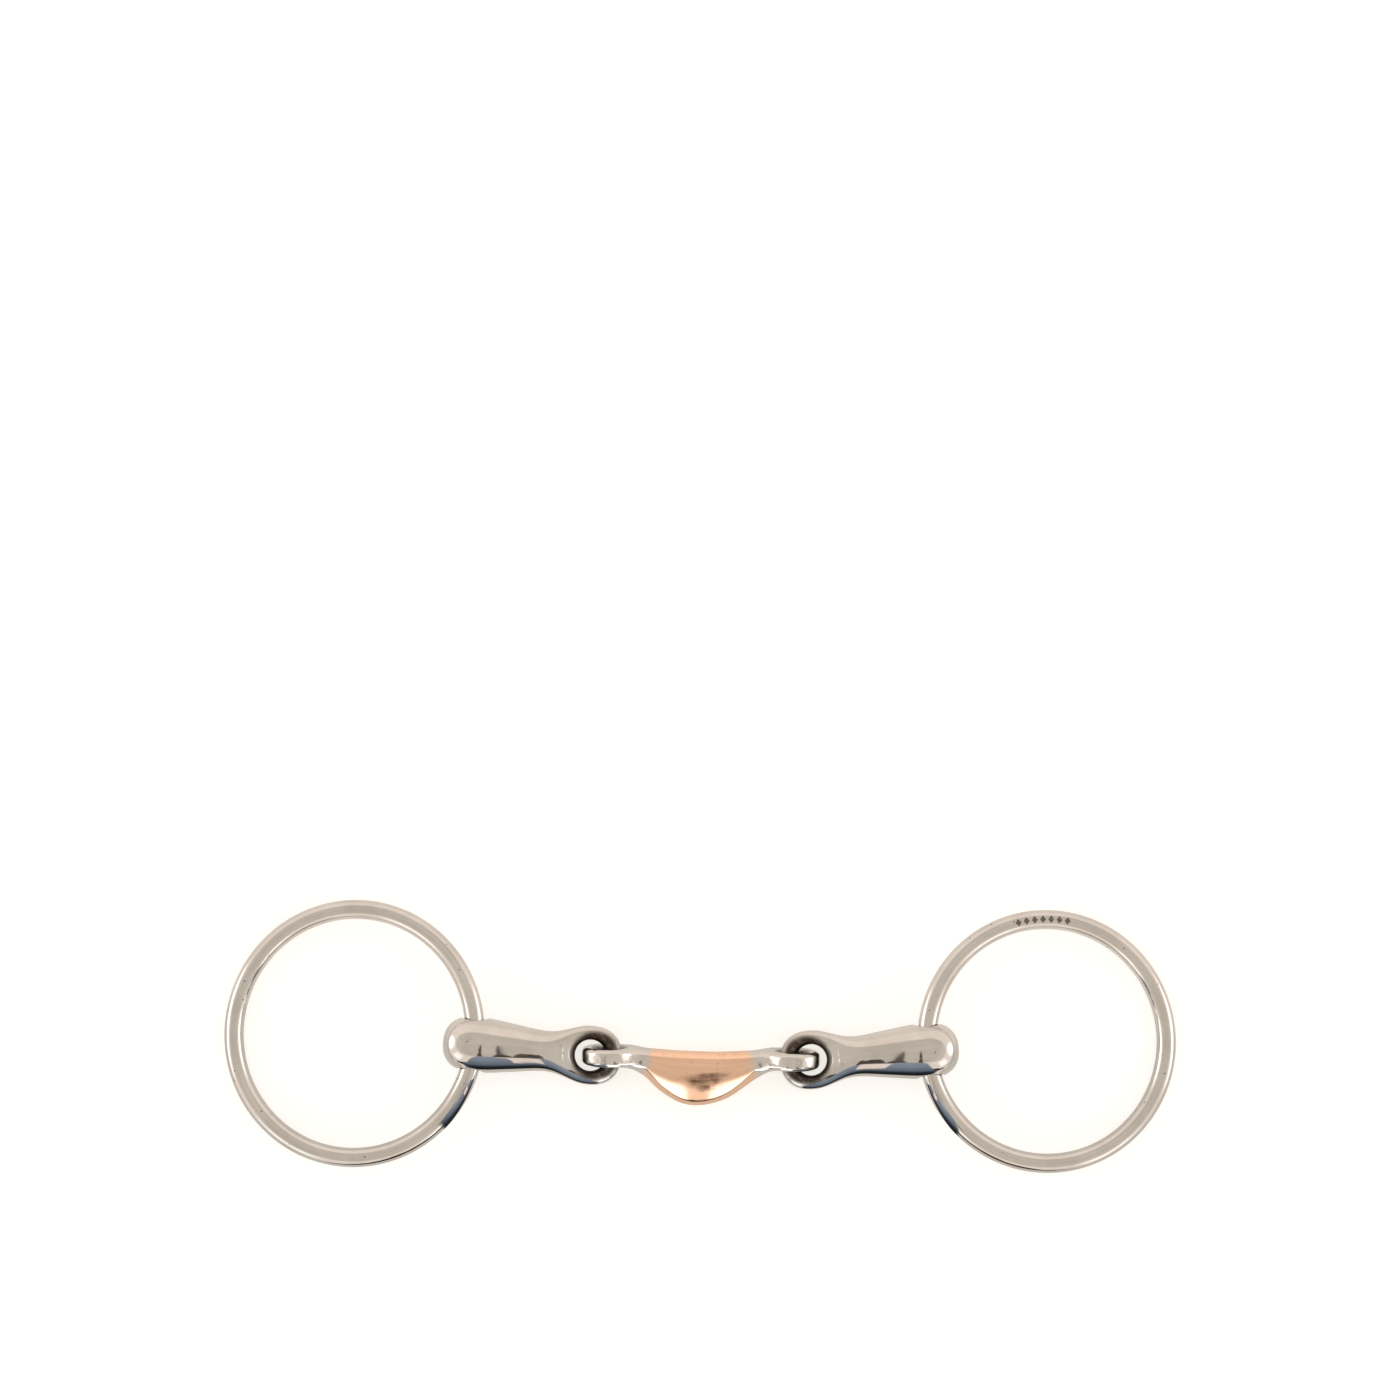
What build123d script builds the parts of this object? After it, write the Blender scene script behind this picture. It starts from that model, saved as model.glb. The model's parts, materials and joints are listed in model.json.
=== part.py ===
from build123d import *
from math import asin, cos, degrees, pi, radians, sin, tan
import os

# Double-jointed loose-ring snaffle bit, at rest on a flat surface.
#
# Two solid steel cannons hang on a steel centre link by interlocked eyes. The cannons' eyes lie flat and
# the link's loops stand upright, so each pair holds like two links of a chain. The middle of the link is a
# leaf-shaped lozenge of copper, cast around a flat steel web. A plain round ring runs loose through a
# cross bore at the outer end of each cannon.
#
# Frame: +X runs along the mouthpiece to the right cannon, +Y is the straight edge of the lozenge, and
# +Z is up. The origin is the centre of the bounding box, on the surface that the bit lies on.

# ---------------------------------------------------------------- driving dimensions, in mm and degrees
RING_INSIDE = 70.0          # inside diameter of a ring
RING_WIRE = 6.0             # its wire's diameter
SWING_REACH = 0.45          # the wire's middle stands this far out of the bore's axis, so its arc is centred

PIVOT_SPACING = 68.4        # from one cannon's eye centre to the other's
REST_ANGLE_LEFT = 4.1       # how far each cannon turns up from the link's line as the bit lies
REST_ANGLE_RIGHT = 5.7
LINK_DROOP = 9.0            # the lozenge's free edge sinks towards the surface

EYE_RADIUS = 9.1            # cannon: half width of the eye
EYE_REACH = 9.6             # how far the eye reaches from its hole's centre towards the link
EYE_PLAN = 2.3              # exponent of its outline seen from above
EYE_HOLE = 4.8              # radius of its hole at the narrowest
EYE_HALF_THICK = 3.6
WAIST_AT = 13.2             # distance of the narrow waist from the eye's centre
WAIST_RADIUS = 6.2
FLAT_UNTIL = 4.5            # up to here the cannon is as thin as the eye
ROUND_FROM = 17.5           # and from here outwards its section is a circle
END_RADIUS = 8.6            # the thick end beside the ring
END_AT = 36.0               # where the end's rounding starts
END_LENGTH = 9.8            # how long that rounding is
END_FULLNESS = 2.4          # and its exponent: 2 is an ellipse, more is fuller
BORE_AT = 36.5              # the ring's cross bore, from the eye's centre
BORE_RADIUS = 3.8
BORE_LIP = 0.7              # rounding of the bore's mouths

LOOP_RADIUS = 8.5           # link: outside of a loop
LOOP_HOLE = 4.6             # radius of its hole at the narrowest
LOOP_AT = 28.4              # loop's centre from the link's middle
LOOP_HALF_WIDE = 3.05
NECK_HALF_THICK = 4.7       # half thickness of the link between the loops
NECK_BLEND = 0.25           # how full the blend is where that thickness meets a loop
LOZENGE_TOP = 1.9           # the straight edge's height over the link's line, at mid-length
LOZENGE_DEPTH = 15.0        # how far the curved edge hangs below that line
LOZENGE_HALF_LONG = 23.0
LOZENGE_SHIFT = -0.9        # the deepest point lies a little left of the middle
LOZENGE_CURVE = 1.5         # exponent of the curved edge: more makes its flanks straighter
LOZENGE_LEAN = 0.30         # how much thicker the section is at its straight edge
LEAN_BALANCE = 0.4          # share of the lean taken off again, so that the thickest point keeps its size

COPPER_HALF_TOP = 15.2      # half length of the copper at the straight edge
COPPER_SLANT = 18.0         # its ends lean outwards by this angle towards the curved edge
WEB_HALF_THICK = 1.5        # the steel web inside the copper
WEB_TOP = -1.0
WEB_BOTTOM = -8.5
WEB_HALF_LONG = 18.5
WEB_CORNER = 3.4

ELLIPSE = 2.0               # exponent of an elliptic section
SQUARISH = 3.0              # exponent of the sections of eyes and loops, which have fuller corners
HOLE_STRAIGHT = 0.8         # half length of the straight wall in the middle of an eye or loop
SECTION_POINTS = 28
TIP_INSET = 0.02            # the end sections stop this far short of a tip

RING_RADIUS = (RING_INSIDE + RING_WIRE) / 2
RING_CENTRE = RING_RADIUS - SWING_REACH
RING_TILT = degrees(asin((END_RADIUS - RING_WIRE / 2) / (RING_CENTRE + RING_RADIUS)))


def ease(x, start, end, low, high):
    """A half cosine wave from low at start to high at end, flat at both."""
    share = min(max((x - start) / (end - start), 0.0), 1.0)
    return low + (high - low) * (1 - cos(pi * share)) / 2


def full(share, exponent):
    """The height of a rounding of that exponent: 1 where share is 0, and 0 where it is 1."""
    return max(1 - abs(share) ** exponent, 0.0) ** (1 / exponent)


def signed_power(value, exponent):
    return abs(value) ** exponent * (1 if value > 0 else -1)


def section(x, low, high, half_thick, fullness, lean=0.0):
    """A closed section across X from y low to y high, thicker towards high by the lean."""
    middle, half = (low + high) / 2, (high - low) / 2
    points = []
    for k in range(SECTION_POINTS):
        turn = 2 * pi * k / SECTION_POINTS
        across = signed_power(cos(turn), 2 / fullness)
        up = signed_power(sin(turn), 2 / fullness)
        points.append((x, middle + half * across, half_thick * up * (1 + lean * across)))
    return Wire(Edge.make_spline(points, periodic=True))


def stations(start, end, count, to_tip=False):
    """Places from start to end, closer together towards a rounded tip."""
    shares = [k / count for k in range(count + 1)]
    if to_tip:
        shares = [sin(pi * share / 2) for share in shares]
    return [start + (end - start) * share for share in shares]


def flared_cutter(radius, half_length, lip, straight):
    """A cutter round +Z: a cylinder whose wall curves outwards beyond its straight middle."""
    top = straight + lip
    mouth = radius + lip
    with BuildPart() as cutter:
        with BuildSketch(Plane.XZ):
            with BuildLine():
                Line((0, -half_length), (0, half_length))
                Line((0, half_length), (mouth, half_length))
                Line((mouth, half_length), (mouth, top))
                RadiusArc((mouth, top), (radius, straight), lip)
                Line((radius, straight), (radius, -straight))
                RadiusArc((radius, -straight), (mouth, -top), lip)
                Line((mouth, -top), (mouth, -half_length))
                Line((mouth, -half_length), (0, -half_length))
            make_face()
        revolve(axis=Axis.Z)
    return cutter.part


def eye_cutter(hole, half_thick):
    """The flared hole of an eye or loop, round +Z."""
    return flared_cutter(hole, 2 * half_thick, half_thick - HOLE_STRAIGHT, HOLE_STRAIGHT)


# ----------------------------------------------------------------------------------------- cannons
def cannon_half_width(x):
    """Half the cannon's width across Y, at a distance x from the eye's centre."""
    if x < 0:
        return EYE_RADIUS * full(x / EYE_REACH, EYE_PLAN)
    if x < WAIST_AT:
        return ease(x, 0, WAIST_AT, EYE_RADIUS, WAIST_RADIUS)
    if x < END_AT:
        return ease(x, WAIST_AT, END_AT, WAIST_RADIUS, END_RADIUS)
    return END_RADIUS * full((x - END_AT) / END_LENGTH, END_FULLNESS)


def cannon_half_thick(x):
    """Half its thickness across Z: thin at the eye, and as thick as wide from ROUND_FROM outwards."""
    if x < 0:
        return EYE_HALF_THICK * full(x / EYE_REACH, SQUARISH)
    if x < ROUND_FROM:
        return ease(x, FLAT_UNTIL, ROUND_FROM, EYE_HALF_THICK, cannon_half_width(ROUND_FROM))
    return cannon_half_width(x)


def cannon():
    """One cannon in its own frame: the eye's centre at the origin, its hole along Z, the ring's end at +X."""
    eye_places = stations(0, TIP_INSET - EYE_REACH, 7, to_tip=True)
    neck_places = stations(0, ROUND_FROM, 7)
    arm_places = stations(ROUND_FROM, END_AT, 5)
    end_places = stations(END_AT, END_AT + END_LENGTH - TIP_INSET, 9, to_tip=True)
    places = eye_places[:0:-1] + neck_places + arm_places[1:] + end_places[1:]
    sections = []
    for x in places:
        half = cannon_half_width(x)
        fullness = ease(x, 0, ROUND_FROM, SQUARISH, ELLIPSE)
        sections.append(section(x, -half, half, cannon_half_thick(x), fullness))
    body = Solid.make_loft(sections)
    bore = flared_cutter(BORE_RADIUS, 2 * END_RADIUS, BORE_LIP, END_RADIUS - BORE_LIP)
    return body - eye_cutter(EYE_HOLE, EYE_HALF_THICK) - Pos(BORE_AT, 0, 0) * Rotation(90, 0, 0) * bore


# ------------------------------------------------------------------------------------- centre link
def tip_taper(x):
    """1 along the link, falling to 0 over the last stretch of each loop, which rounds its end."""
    past = max(abs(x) - LOOP_AT - LOOP_HOLE, 0.0)
    return full(past / (LOOP_RADIUS - LOOP_HOLE), SQUARISH)


def link_low(x):
    """The lozenge's curved edge: y at a place along the link."""
    share = (x - LOZENGE_SHIFT) / LOZENGE_HALF_LONG
    bulge = max(1 - share ** 2, 0.0) ** LOZENGE_CURVE
    return -(LOOP_HALF_WIDE + (LOZENGE_DEPTH - LOOP_HALF_WIDE) * bulge) * tip_taper(x)


def link_high(x):
    """The lozenge's nearly straight edge, which dips a little towards the middle."""
    return ease(abs(x), 0, LOZENGE_HALF_LONG, LOZENGE_TOP, LOOP_HALF_WIDE) * tip_taper(x)


def link_half_thick(x):
    """Half the link's height across Z: a round loop at each end, blended into the even middle."""
    share = min(max((abs(x) - LOOP_AT) / LOOP_RADIUS, -1.0), 1.0)
    loop = LOOP_RADIUS * full(share, ELLIPSE)
    if abs(x) >= LOOP_AT:
        return loop
    blend = LOOP_RADIUS - NECK_HALF_THICK
    near = max(blend - abs(loop - NECK_HALF_THICK), 0.0) / blend
    return max(loop, NECK_HALF_THICK) + near ** 2 * blend * NECK_BLEND


def link_outside():
    """The whole link's outer form, copper and steel together, without its loops' holes."""
    loop_start = LOOP_AT - LOOP_RADIUS
    tip = LOOP_AT + LOOP_RADIUS - TIP_INSET
    right = stations(0, loop_start, 6)
    right += stations(loop_start, LOOP_AT, 5)[1:]
    right += stations(LOOP_AT, tip, 9, to_tip=True)[1:]
    places = [-x for x in reversed(right[1:])] + right
    sections = []
    for x in places:
        lean = LOZENGE_LEAN * max(1 - (x / LOZENGE_HALF_LONG) ** 2, 0.0)
        fullness = ease(abs(x), 0, LOZENGE_HALF_LONG, ELLIPSE, SQUARISH)
        thick = link_half_thick(x) / (1 + lean * LEAN_BALANCE)
        sections.append(section(x, link_low(x), link_high(x), thick, fullness, lean))
    return Solid.make_loft(sections)


def copper_zone():
    """The space between the copper's two slanted ends."""
    high, low = 2 * LOOP_HALF_WIDE, -1.5 * LOZENGE_DEPTH
    half_high = COPPER_HALF_TOP - (high - LOZENGE_TOP) * tan(radians(COPPER_SLANT))
    half_low = COPPER_HALF_TOP + (LOZENGE_TOP - low) * tan(radians(COPPER_SLANT))
    outline = Polyline((-half_high, high), (half_high, high), (half_low, low), (-half_low, low), close=True)
    return extrude(make_face(outline), LOOP_RADIUS, both=True)


def web():
    """The flat steel web that runs through the copper and joins the two steel ends."""
    outline = RectangleRounded(2 * WEB_HALF_LONG, WEB_TOP - WEB_BOTTOM, WEB_CORNER)
    return extrude(Pos(0, (WEB_TOP + WEB_BOTTOM) / 2) * outline, WEB_HALF_THICK, both=True)


def link():
    """The steel link with its loops and web, and the copper around the web, in the link's own frame."""
    outside = link_outside()
    hole = Rotation(90, 0, 0) * eye_cutter(LOOP_HOLE, LOOP_HALF_WIDE)
    for side in (-1, 1):
        outside -= Pos(side * LOOP_AT, 0, 0) * hole
    zone = copper_zone()
    steel_web = web() & outside
    steel = (outside - zone) + steel_web
    copper = (outside & zone) - steel_web
    return steel, copper


# ------------------------------------------------------------------------------------------- rings
def ring_place():
    """A ring's centre in a cannon's frame: the ring leans so that its far side rests on the surface."""
    return Pos(BORE_AT, 0, 0) * Rotation(0, RING_TILT, 0) * Pos(RING_CENTRE, 0, 0)


def ring():
    return Torus(RING_RADIUS, RING_WIRE / 2)


# ---------------------------------------------------------------------------------------- assembly
left = Pos(-PIVOT_SPACING / 2, 0, END_RADIUS) * Rotation(0, 0, 180 - REST_ANGLE_LEFT)
right = Pos(PIVOT_SPACING / 2, 0, END_RADIUS) * Rotation(0, 0, REST_ANGLE_RIGHT)
middle = Pos(0, 0, END_RADIUS) * Rotation(LINK_DROOP, 0, 0)
link_steel, link_copper = link()
pieces = {
    "centre_link_steel": middle * link_steel,
    "centre_link_copper": middle * link_copper,
    "cannon_left": left * cannon(),
    "cannon_right": right * cannon(),
    "ring_left": left * ring_place() * ring(),
    "ring_right": right * ring_place() * ring(),
}
box = Compound(list(pieces.values())).bounding_box()
to_origin = Pos(-box.center().X, -box.center().Y, -box.min.Z)

os.makedirs("parts", exist_ok=True)
for name, shape in pieces.items():
    solids = [to_origin * solid for solid in shape.solids()]
    export_step(solids[0] if len(solids) == 1 else Compound(solids), f"parts/{name}.step")
    print(name, len(solids), "solid(s)", round(sum(solid.volume for solid in solids)), "mm3")
for name, arm in (("left", left), ("right", right)):
    print(f"fold_{name}", (to_origin * arm).position)
    print(f"swing_{name}", (to_origin * arm * Pos(BORE_AT, 0, 0)).position)
    print(f"ring_centre_{name}", (to_origin * arm * ring_place()).position)
print("overall", box.size)
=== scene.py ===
import json
import math

import bmesh
import bpy
import numpy as np
from mathutils import Matrix, Vector


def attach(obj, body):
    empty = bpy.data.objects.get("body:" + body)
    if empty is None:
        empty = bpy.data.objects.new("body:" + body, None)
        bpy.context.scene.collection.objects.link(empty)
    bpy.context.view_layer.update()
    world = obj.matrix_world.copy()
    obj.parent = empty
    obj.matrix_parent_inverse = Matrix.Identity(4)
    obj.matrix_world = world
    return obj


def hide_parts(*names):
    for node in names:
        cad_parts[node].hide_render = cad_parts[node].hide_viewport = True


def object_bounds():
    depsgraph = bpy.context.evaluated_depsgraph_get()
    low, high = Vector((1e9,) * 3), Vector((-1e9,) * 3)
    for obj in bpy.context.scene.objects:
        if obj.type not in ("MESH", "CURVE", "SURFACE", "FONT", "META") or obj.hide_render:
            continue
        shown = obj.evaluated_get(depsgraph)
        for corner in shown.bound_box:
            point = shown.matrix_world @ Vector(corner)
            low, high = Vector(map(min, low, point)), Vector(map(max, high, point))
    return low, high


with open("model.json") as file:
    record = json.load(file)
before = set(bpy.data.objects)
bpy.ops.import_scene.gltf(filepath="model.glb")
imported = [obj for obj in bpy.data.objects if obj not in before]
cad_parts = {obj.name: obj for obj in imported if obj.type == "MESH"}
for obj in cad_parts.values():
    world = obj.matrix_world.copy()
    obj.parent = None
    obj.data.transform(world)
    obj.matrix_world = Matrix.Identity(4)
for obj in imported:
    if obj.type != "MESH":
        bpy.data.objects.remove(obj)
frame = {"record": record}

# Double-jointed loose-ring snaffle bit, polished steel and copper, lying on a pale surface.
# Shapes are made in millimetres in each piece's own frame, then placed in metres in the CAD frame.
MM = 0.001
cad_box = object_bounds()
joints = {j["name"]: j for j in frame["record"]["behaviour"]["joints"]}
fold = {s: Vector(joints[f"fold_{s}"]["pos_m"]) for s in ("left", "right")}
swing = {s: Vector(joints[f"ring_swing_{s}"]["pos_m"]) for s in ("left", "right")}
bore_at = (swing["right"] - fold["right"]).length / MM      # from a cannon's eye to its ring bore

# ------------------------------------------------------------------ dimensions, mm and degrees
RING_RADIUS = 38.0
WIRE_RADIUS = 3.0
SWING_REACH = 0.45           # the bore's axis lies this far inside the wire's centre line
RING_SHAPE = {"left": (0.992, 1.010), "right": (0.985, 0.992)}     # out of round: along and across

EYE_RADIUS = 9.1
EYE_REACH = 9.6
EYE_PLAN = 2.3
EYE_HOLE = 4.8
EYE_HALF_THICK = 3.6
EYE_FULLNESS = 3.0
ROUND_FROM = 17.5
FLAT_UNTIL = 4.5
END_AT = 36.0
END_LENGTH = 9.8
END_FULLNESS = 2.4
END_RADIUS = 8.6
BORE_RADIUS = 3.8
BORE_BLEND = 0.9             # rounding of the bore's mouths
HOLE_STRAIGHT = 0.8          # half length of the straight wall in an eye or loop
HOLE_BLEND = 0.4             # rounding where a hole's flare meets the outside

LINK_DROOP = 9.0
LOOP_RADIUS = 8.5
LOOP_HOLE = 4.6
LOOP_AT = 28.4
LOOP_HALF_WIDE = 3.05
LOOP_FULLNESS = 4.5
BEVEL_EDGE = 0.35            # the bevel along the lozenge's curved edge starts at this half thickness
BEVEL_SLOPE = 1.15
BEVEL_BLEND = 0.35
BEVEL_FADE_FROM = 17.0       # beyond this distance from the middle the bevel fades away, at this rate
BEVEL_FADE = 0.5
NECK_HALF_THICK = 4.7
LOZENGE_HALF_LONG = 23.0
LOZENGE_LEAN = 0.30          # how much thicker the lozenge is at its straight edge
LEAN_BALANCE = 0.4           # share of the lean taken off the whole thickness again
BODY_HALF_LONG = 27.0        # the link's middle body ends inside its loops
LOOP_BLEND = 1.6             # rounding between the body and a loop
COPPER_HALF_TOP = 15.2
COPPER_SLANT = 18.0
COPPER_TOP = 1.9
LOZENGE_FULLNESS = 2.05      # power of the section's rounding, as far from the middle as SECTION_FROM
NECK_FULLNESS = 2.6
SECTION_FROM = 6.0
WEB_HALF_THICK = 1.5
WEB_TOP = -0.5
WEB_BOTTOM = -6.0
WEB_HALF_LONG = 16.5
WEB_AROUND = 24              # steps round the web's section and along it
WEB_ALONG = 16
WEB_CORNER = 0.6             # powers that square off its section and its ends
WEB_END = 0.25

RING_STEPS = 320
WIRE_STEPS = 40
GRID_MARGIN = 1.0            # room round a cast piece in its grid
CANNON_GRID_SIDE = 10.3
LINK_GRID_Y = (-16.5, 4.6)
GRID_BATCHES = 24            # the grid is filled in parts, which saves memory
RELAX_ROUNDS = 6
RELAX_SHARE = 0.6
VOXEL = 0.34                 # mesh step of the cast pieces


# ------------------------------------------------------------------ curves and fields
class Spline:
    """A smooth curve y(x) through points, with flat ends."""

    def __init__(self, points):
        self.x = np.array([p[0] for p in points], float)
        self.y = np.array([p[1] for p in points], float)
        n = len(self.x)
        h = np.diff(self.x)
        rows = np.zeros((n, n))
        right = np.zeros(n)
        slope = np.diff(self.y) / h
        rows[0, 0], rows[0, 1], right[0] = 2 * h[0], h[0], 6 * slope[0]
        rows[-1, -1], rows[-1, -2], right[-1] = 2 * h[-1], h[-1], -6 * slope[-1]
        for i in range(1, n - 1):
            rows[i, i - 1], rows[i, i], rows[i, i + 1] = h[i - 1], 2 * (h[i - 1] + h[i]), h[i]
            right[i] = 6 * (slope[i] - slope[i - 1])
        self.m = np.linalg.solve(rows, right)

    def __call__(self, x):
        x = np.clip(x, self.x[0], self.x[-1])
        i = np.clip(np.searchsorted(self.x, x) - 1, 0, len(self.x) - 2)
        h = self.x[i + 1] - self.x[i]
        a = (self.x[i + 1] - x) / h
        b = (x - self.x[i]) / h
        bend = ((a ** 3 - a) * self.m[i] + (b ** 3 - b) * self.m[i + 1]) * h * h / 6
        return a * self.y[i] + b * self.y[i + 1] + bend


def ease(x, start, end, low, high):
    """From low at start to high at end, along half a cosine wave."""
    share = np.clip((x - start) / (end - start), 0, 1)
    return low + (high - low) * (1 - np.cos(np.pi * share)) / 2


def smooth_max(a, b, k):
    """The larger of two fields, with the crease between them rounded over a width k."""
    near = np.maximum(k - np.abs(a - b), 0) / k
    return np.maximum(a, b) + near * near * k / 4


def smooth_min(a, b, k):
    return -smooth_max(-a, -b, k)


def power(x, p):
    """|x| to the power p, kept off zero so that its slope is always defined."""
    return np.maximum(np.abs(x), 1e-9) ** p


FAR_FALL = 1.5               # beyond a flare its field falls this fast, so that it cuts nothing there


def eye_wall(across, along, hole, half_thick):
    """Negative in the material round a flared hole: across is the distance from its axis."""
    lip = half_thick - HOLE_STRAIGHT
    beyond = across - hole - lip
    curved = np.hypot(np.maximum(-beyond, 0), np.maximum(np.abs(along) - HOLE_STRAIGHT, 0)) - lip
    return curved - FAR_FALL * np.maximum(beyond, 0)


# half widths and half thicknesses along a cannon, from its eye's centre
cannon_width = Spline([(0, EYE_RADIUS), (3, 8.8), (5.5, 8.1), (8, 7.27), (10.5, 6.58), (13.5, 6.25),
                       (16.7, 6.42), (19.2, 6.75), (21.6, 7.1), (26.6, 7.78), (31.5, 8.4),
                       (END_AT, END_RADIUS)])
cannon_thick = Spline([(0, EYE_HALF_THICK), (FLAT_UNTIL, 3.66), (7, 4.05), (10.5, 5.1), (14, 6.05),
                       (ROUND_FROM, 6.5), (21.6, 7.1), (26.6, 7.78), (31.5, 8.4), (END_AT, END_RADIUS)])


def cannon_field(p):
    """Negative inside a cannon: the eye's centre at the origin, its hole along Z, the ring's end at +X."""
    x, y, z = p[:, 0], p[:, 1], p[:, 2]
    e = ease(x, 0, ROUND_FROM, EYE_FULLNESS, 2)
    width, thick = cannon_width(x), cannon_thick(x)
    swept = (power(y / width, e) + power(z / thick, e)) ** (1 / e) - 1
    plan = (power(x / EYE_REACH, EYE_PLAN) + power(y / EYE_RADIUS, EYE_PLAN)) ** (1 / EYE_PLAN)
    eye = (power(plan, EYE_FULLNESS) + power(z / EYE_HALF_THICK, EYE_FULLNESS)) ** (1 / EYE_FULLNESS) - 1
    radial = power(np.hypot(y, z) / END_RADIUS, END_FULLNESS)
    end = (power((x - END_AT) / END_LENGTH, END_FULLNESS) + radial) ** (1 / END_FULLNESS) - 1
    body = np.where(x < 0, eye, np.where(x > END_AT, end, swept)) * thick
    hole = eye_wall(np.hypot(x, y), z, EYE_HOLE, np.maximum(thick, EYE_HALF_THICK))
    body = smooth_max(body, hole, HOLE_BLEND)
    bore = BORE_RADIUS - np.hypot(x - bore_at, z)
    return smooth_max(body, bore, BORE_BLEND)


# how far the link's curved and straight edges lie from its line
link_low = Spline([(-28, LOOP_HALF_WIDE), (-25, 3.15), (-23.2, 3.4), (-21.2, 4.0), (-19.2, 4.9),
                   (-17.2, 6.25), (-13.8, 9.5), (-10, 12.3), (-6.3, 14.2), (-2.4, 15.0), (1.1, 14.85),
                   (4.8, 14.0), (8.5, 12.5), (12.3, 10.0), (16, 7.15), (19.7, 4.65), (21.8, 3.65),
                   (24, 3.2), (28, LOOP_HALF_WIDE)])
link_high = Spline([(-28, LOOP_HALF_WIDE), (-23.2, 3.05), (-19.2, 2.75), (-13.8, 2.42), (-8.2, 2.1),
                    (-2.6, 1.95), (4.8, 1.9), (10.4, 2.15), (16, 2.5), (21, 2.9), (28, LOOP_HALF_WIDE)])


def link_field(p):
    """Negative inside the whole link, copper and steel together."""
    x, y, z = p[:, 0], p[:, 1], p[:, 2]
    low, high = -link_low(x), link_high(x)
    middle, half = (low + high) / 2, (high - low) / 2
    e = ease(np.abs(x), SECTION_FROM, LOZENGE_HALF_LONG, LOZENGE_FULLNESS, NECK_FULLNESS)
    inner = np.maximum(1 - (x / LOZENGE_HALF_LONG) ** 2, 0)
    lean = LOZENGE_LEAN * inner
    across = (y - middle) / half
    thick = NECK_HALF_THICK / (1 + LEAN_BALANCE * lean) * (1 + lean * np.clip(across, -1, 1))
    body = ((power(across, e) + power(z / thick, e)) ** (1 / e) - 1) * np.minimum(half, NECK_HALF_THICK)
    bevel = (np.abs(z) - BEVEL_EDGE - BEVEL_SLOPE * (y - low)) / math.hypot(1, BEVEL_SLOPE)
    bevel -= BEVEL_FADE * np.maximum(np.abs(x) - BEVEL_FADE_FROM, 0)
    body = smooth_max(body, bevel, BEVEL_BLEND)
    body = np.maximum(body, np.abs(x) - BODY_HALF_LONG)
    radius = np.hypot(np.abs(x) - LOOP_AT, z)
    loop = power(radius / LOOP_RADIUS, LOOP_FULLNESS) + power(y / LOOP_HALF_WIDE, LOOP_FULLNESS)
    loop = loop ** (1 / LOOP_FULLNESS) - 1
    whole = smooth_min(body, loop * LOOP_HALF_WIDE, LOOP_BLEND)
    wide = np.where(y < 0, link_low(x), link_high(x))
    return smooth_max(whole, eye_wall(radius, y, LOOP_HOLE, wide), HOLE_BLEND)


def gradient(field, p, h=0.004):
    """The field's slope at each point, by central differences."""
    g = np.empty_like(p)
    for a in range(3):
        step = np.zeros(3)
        step[a] = h
        g[:, a] = (field(p + step) - field(p - step)) / (2 * h)
    return g


MOST_MOVE = 0.3              # no point moves further than this along an axis in one step


def project(field, p, rounds):
    """Moves points along the field's slope onto its surface."""
    for _ in range(rounds):
        g = gradient(field, p)
        move = field(p) / np.maximum((g * g).sum(1), 1e-6)
        p = p - np.clip(move[:, None] * g, -MOST_MOVE, MOST_MOVE)
    return p


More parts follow.
